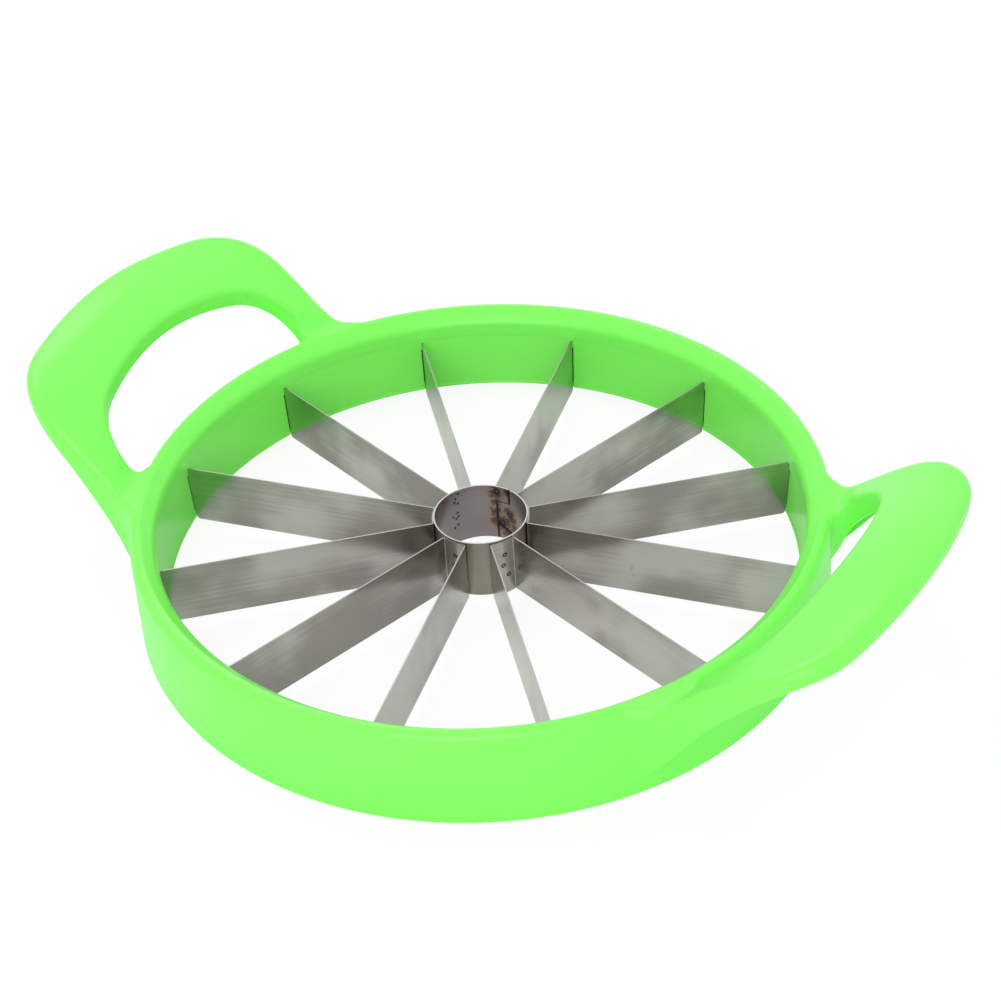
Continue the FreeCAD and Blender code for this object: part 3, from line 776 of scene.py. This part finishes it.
def make_rolled():
    """Rolling lines along the map's first axis: noise drawn out in that direction.

    The fine lines are drawn out a hundred times, and the broad ones fifty times."""
    tree, given, result = new_group("rolled lines", [("Map", "Vector", None)],
                                    [("Lines", "Float"), ("Broad", "Float")])
    for label, scale, detail, rough in (("Lines", (90.0, 9000.0, 1.0), 3.0, 0.6),
                                        ("Broad", (18.0, 900.0, 1.0), 2.0, 0.5)):
        mapped = add(tree, "ShaderNodeMapping", {"Vector": given.outputs["Map"], "Scale": scale})
        tree.links.new(noise(tree, mapped.outputs[0], 1.0, detail, rough), result.inputs[label])
    return tree


uneven, rolled = make_uneven(), make_rolled()

# %% [markdown]
# ### Green moulding
# The plastic is a bright apple green, glossy, and lets a little light in, which is why its shaded
# walls look deeper in colour instead of grey. Light that spreads 1.5 mm below the skin gives that.

# %% Green plastic
def green_plastic():
    material, tree, shader = new_material("green_plastic")
    where = add(tree, "ShaderNodeTexCoord").outputs["Object"]
    skin = place(tree, uneven, Vector=where, Wave_Size=22.0, Grain_Size=2600.0)
    grain = skin.outputs["Grain"]
    colour = mix_colour(tree, grain, (0.212, 0.97, 0.105, 1), (0.222, 0.99, 0.115, 1))
    tree.links.new(colour, shader.inputs["Base Color"])
    tree.links.new(ramp(tree, grain, 0.3, 0.7, 0.27, 0.33), shader.inputs["Roughness"])
    tree.links.new(bumped(tree, skin.outputs["Height"], 0.05, 0.0006), shader.inputs["Normal"])
    shader.inputs["Subsurface Weight"].default_value = 0.2
    shader.inputs["Subsurface Radius"].default_value = (0.3, 1.0, 0.2)
    shader.inputs["Subsurface Scale"].default_value = 0.0015
    shader.inputs["IOR"].default_value = 1.46
    return material


green = green_plastic()
for piece in [ring, *handles]:
    piece.data.materials.append(green)

# %% [markdown]
# ### Rolled steel
# The strips are cold rolled: satin, with fine lines along their length, a few faint stains, and
# a cut edge that is darker and rougher than the faces.

# %% Steel of the blades and the tube
# The dark weld colour also paints shade on the edges of the tube's open slits.
STAIN, SCORCH_AND_SLIT_SHADE = (0.2, 0.18, 0.16, 1), (0.05, 0.035, 0.04, 1)
HEAT_START, HEAT_END = (0.42, 0.35, 0.31, 1), (0.13, 0.10, 0.10, 1)
HEAT_BANDS = {0.3: (0.40, 0.29, 0.22, 1), 0.55: (0.27, 0.15, 0.09, 1), 0.8: (0.17, 0.11, 0.10, 1)}


def heat_colours(tree, where, colour):
    """Colour with the heat tints of the seam over it: straw, brown, a purplish dark."""
    warmth = add(tree, "ShaderNodeAttribute", attribute_name="warmth").outputs["Fac"]
    ragged = noise(tree, where, 380.0, detail=4.0, rough=0.7, distortion=0.8)
    warmth = math_node(tree, "MULTIPLY", warmth, ramp(tree, ragged, 0.3, 0.62, 0.35, 1.2))
    tints = add(tree, "ShaderNodeValToRGB", {"Fac": warmth})
    bands = tints.color_ramp.elements
    bands[0].color, bands[1].color = HEAT_START, HEAT_END
    for position, band_colour in HEAT_BANDS.items():
        bands.new(position).color = band_colour
    return mix_colour(tree, ramp(tree, warmth, 0.05, 0.6), colour, tints.outputs[0])


def steel(name, tint, dark_tint, rough_low, rough_high, welds):
    """Rolled steel between two tints; welds is None, "spots", or "seam" for heat colours too."""
    material, tree, shader = new_material(name)
    shape = add(tree, "ShaderNodeTexCoord")
    where = shape.outputs["Object"]
    lines = place(tree, rolled, Map=shape.outputs["UV"])
    skin = place(tree, uneven, Vector=where, Wave_Size=60.0, Grain_Size=3000.0)
    cloud = noise(tree, where, 28.0, detail=2.0)
    stains = noise(tree, where, 55.0, detail=4.0, rough=0.7, distortion=0.6)
    stain = ramp(tree, stains, 0.68, 0.76)
    streaks = math_node(tree, "MULTIPLY", lines.outputs["Broad"], 0.15)
    share = math_node(tree, "MULTIPLY_ADD", cloud, 0.85, streaks)
    colour = mix_colour(tree, ramp(tree, share, 0.38, 0.62), dark_tint, tint)
    colour = mix_colour(tree, math_node(tree, "MULTIPLY", stain, 0.25), colour, STAIN)
    if welds == "seam":
        colour = heat_colours(tree, where, colour)
    # The weld field darkens the colour; on the edges of the tube's slits it is painted shade.
    if welds:
        weld = add(tree, "ShaderNodeAttribute", attribute_name="weld").outputs["Fac"]
        colour = mix_colour(tree, ramp(tree, weld, 0.3, 0.8), colour, SCORCH_AND_SLIT_SHADE)
    tree.links.new(colour, shader.inputs["Base Color"])
    rough = math_node(tree, "ADD", ramp(tree, cloud, 0.3, 0.7, rough_low, rough_high),
                      math_node(tree, "MULTIPLY", stain, 0.1))
    tree.links.new(rough, shader.inputs["Roughness"])
    shader.inputs["Metallic"].default_value = 1.0
    height = math_node(tree, "ADD", math_node(tree, "MULTIPLY", lines.outputs["Lines"], 0.03),
                       math_node(tree, "MULTIPLY", skin.outputs["Height"], 1.2))
    tree.links.new(bumped(tree, height, 0.12, 0.0002), shader.inputs["Normal"])
    return material


blade_face = steel("blade_face", (0.55, 0.535, 0.505, 1), (0.33, 0.315, 0.29, 1), 0.15, 0.24, "spots")
cut_edge = steel("cut_edge", (0.42, 0.41, 0.39, 1), (0.34, 0.33, 0.31, 1), 0.35, 0.45, None)
tube_face = steel("tube_face", (0.35, 0.335, 0.285, 1), (0.28, 0.265, 0.225, 1), 0.2, 0.28, None)
tube_inside = steel("tube_inside", (0.42, 0.375, 0.375, 1), (0.35, 0.315, 0.315, 1), 0.28, 0.36,
                    "seam")
# The tube's cut edges take the weld field, which paints the slits' edges near black as shade.
tube_edge_slit_shade = steel("tube_edge_slit_shade", (0.55, 0.54, 0.53, 1), (0.46, 0.45, 0.44, 1), 0.3, 0.4, "spots")
for strip in strips:
    strip.data.materials.append(blade_face)
    strip.data.materials.append(cut_edge)
for metal in (tube_face, tube_inside, tube_edge_slit_shade):
    tube.data.materials.append(metal)

# %% [markdown]
# ### Closing ring
# It is the plain green plastic part that closes the channel from below, so it keeps the solid's
# mesh and gets the same plastic, a little duller.

# %% Finish of the closing ring
def dull_plastic():
    material, tree, shader = new_material("dull_plastic")
    where = add(tree, "ShaderNodeTexCoord").outputs["Object"]
    skin = place(tree, uneven, Vector=where, Wave_Size=35.0, Grain_Size=1500.0)
    patches, grain = skin.outputs["Patches"], skin.outputs["Grain"]
    colour = mix_colour(tree, patches, (0.21, 0.88, 0.12, 1), (0.23, 0.92, 0.14, 1))
    tree.links.new(colour, shader.inputs["Base Color"])
    tree.links.new(ramp(tree, grain, 0.3, 0.7, 0.4, 0.5), shader.inputs["Roughness"])
    tree.links.new(bumped(tree, skin.outputs["Height"], 0.2, 0.0004), shader.inputs["Normal"])
    return material


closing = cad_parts["closing_ring"]
closing.data.materials.clear()
closing.data.materials.append(dull_plastic())

# %% [markdown]
# ## Stage, light and camera
# The floor and the air are white to the camera and to reflections, but light the slicer only as
# much as a pale room would. Two large soft lamps give the moulding its long highlights.

# %% Floor
FLOOR_GLOW, CAMERA_SHARE, GLOSS_SHARE = 1.03, 0.88, 0.3


def white_stage():
    """White floor that glows to the camera, less to reflections, and is matt to all other light."""
    material, tree, shader = new_material("white_floor")
    shader.inputs["Base Color"].default_value = (0.86, 0.86, 0.86, 1)
    shader.inputs["Roughness"].default_value = 0.9
    path = add(tree, "ShaderNodeLightPath")
    glow = add(tree, "ShaderNodeEmission", {"Color": (1, 1, 1, 1), "Strength": FLOOR_GLOW})
    to_camera = math_node(tree, "MULTIPLY", path.outputs["Is Camera Ray"], CAMERA_SHARE)
    to_gloss = math_node(tree, "MULTIPLY", path.outputs["Is Glossy Ray"], GLOSS_SHARE)
    share = math_node(tree, "MAXIMUM", to_camera, to_gloss)
    both = add(tree, "ShaderNodeMixShader", {0: share, 1: shader.outputs[0], 2: glow.outputs[0]})
    tree.links.new(both.outputs[0], tree.nodes["Material Output"].inputs["Surface"])
    return material


HALF_FLOOR = 6.0
floor_corners = [(x * HALF_FLOOR, y * HALF_FLOOR, 0) for x, y in ((-1, -1), (1, -1), (1, 1), (-1, 1))]
floor_mesh = bpy.data.meshes.new("floor")
floor_mesh.from_pydata(floor_corners, [], [(0, 1, 2, 3)])
floor = bpy.data.objects.new("floor", floor_mesh)
bpy.context.scene.collection.objects.link(floor)
floor.data.materials.append(white_stage())

# %% Air
AIR_LIGHT, AIR_SEEN = 0.82, 1.0
world = bpy.data.worlds.new("white_room")
bpy.context.scene.world = world
world.use_nodes = True
tree = world.node_tree
path = add(tree, "ShaderNodeLightPath")
seen = math_node(tree, "MAXIMUM", path.outputs["Is Camera Ray"], path.outputs["Is Glossy Ray"])
background = tree.nodes["Background"]
strength = ramp(tree, seen, 0.0, 1.0, AIR_LIGHT, AIR_SEEN, smooth=False)
tree.links.new(strength, background.inputs["Strength"])
background.inputs["Color"].default_value = (1, 1, 1, 1)


# %% Lamps
LAMP_TARGET = Vector((0.0, 0.0, 0.03))


def soft_lamp(name, position, size, power):
    """Round lamp with a size in metres and a power in watts, turned to the slicer."""
    lamp = bpy.data.lights.new(name, "AREA")
    lamp.shape, lamp.size, lamp.energy = "DISK", size, power
    holder = bpy.data.objects.new(name, lamp)
    bpy.context.scene.collection.objects.link(holder)
    holder.location = position
    holder.rotation_euler = (LAMP_TARGET - Vector(position)).to_track_quat("-Z", "Y").to_euler()


soft_lamp("front_lamp", (0.554, -1.188, 0.918), size=1.2, power=8.2)
soft_lamp("back_lamp", (-0.9, 0.5, 1.5), size=1.0, power=6.5)

# %% Camera at the photograph's angle
EYE = Vector((407.072, -563.608, 579.705)) * MM
AHEAD = Vector((-0.453848, 0.644547, -0.615289))
RIGHT = Vector((0.838867, 0.541937, -0.051055))
UP = Vector((-0.300541, 0.539317, 0.786646))
camera_data = bpy.data.cameras.new("camera")
camera_data.sensor_width = 36.0
camera_data.lens = 79.534
camera_data.clip_start, camera_data.clip_end = 0.01, 50.0
camera = bpy.data.objects.new("camera", camera_data)
bpy.context.scene.collection.objects.link(camera)
turn = Matrix((RIGHT, UP, -AHEAD)).transposed()
camera.matrix_world = Matrix.Translation(EYE) @ turn.to_4x4()
bpy.context.scene.camera = camera
bpy.context.scene.view_settings.view_transform = "Standard"
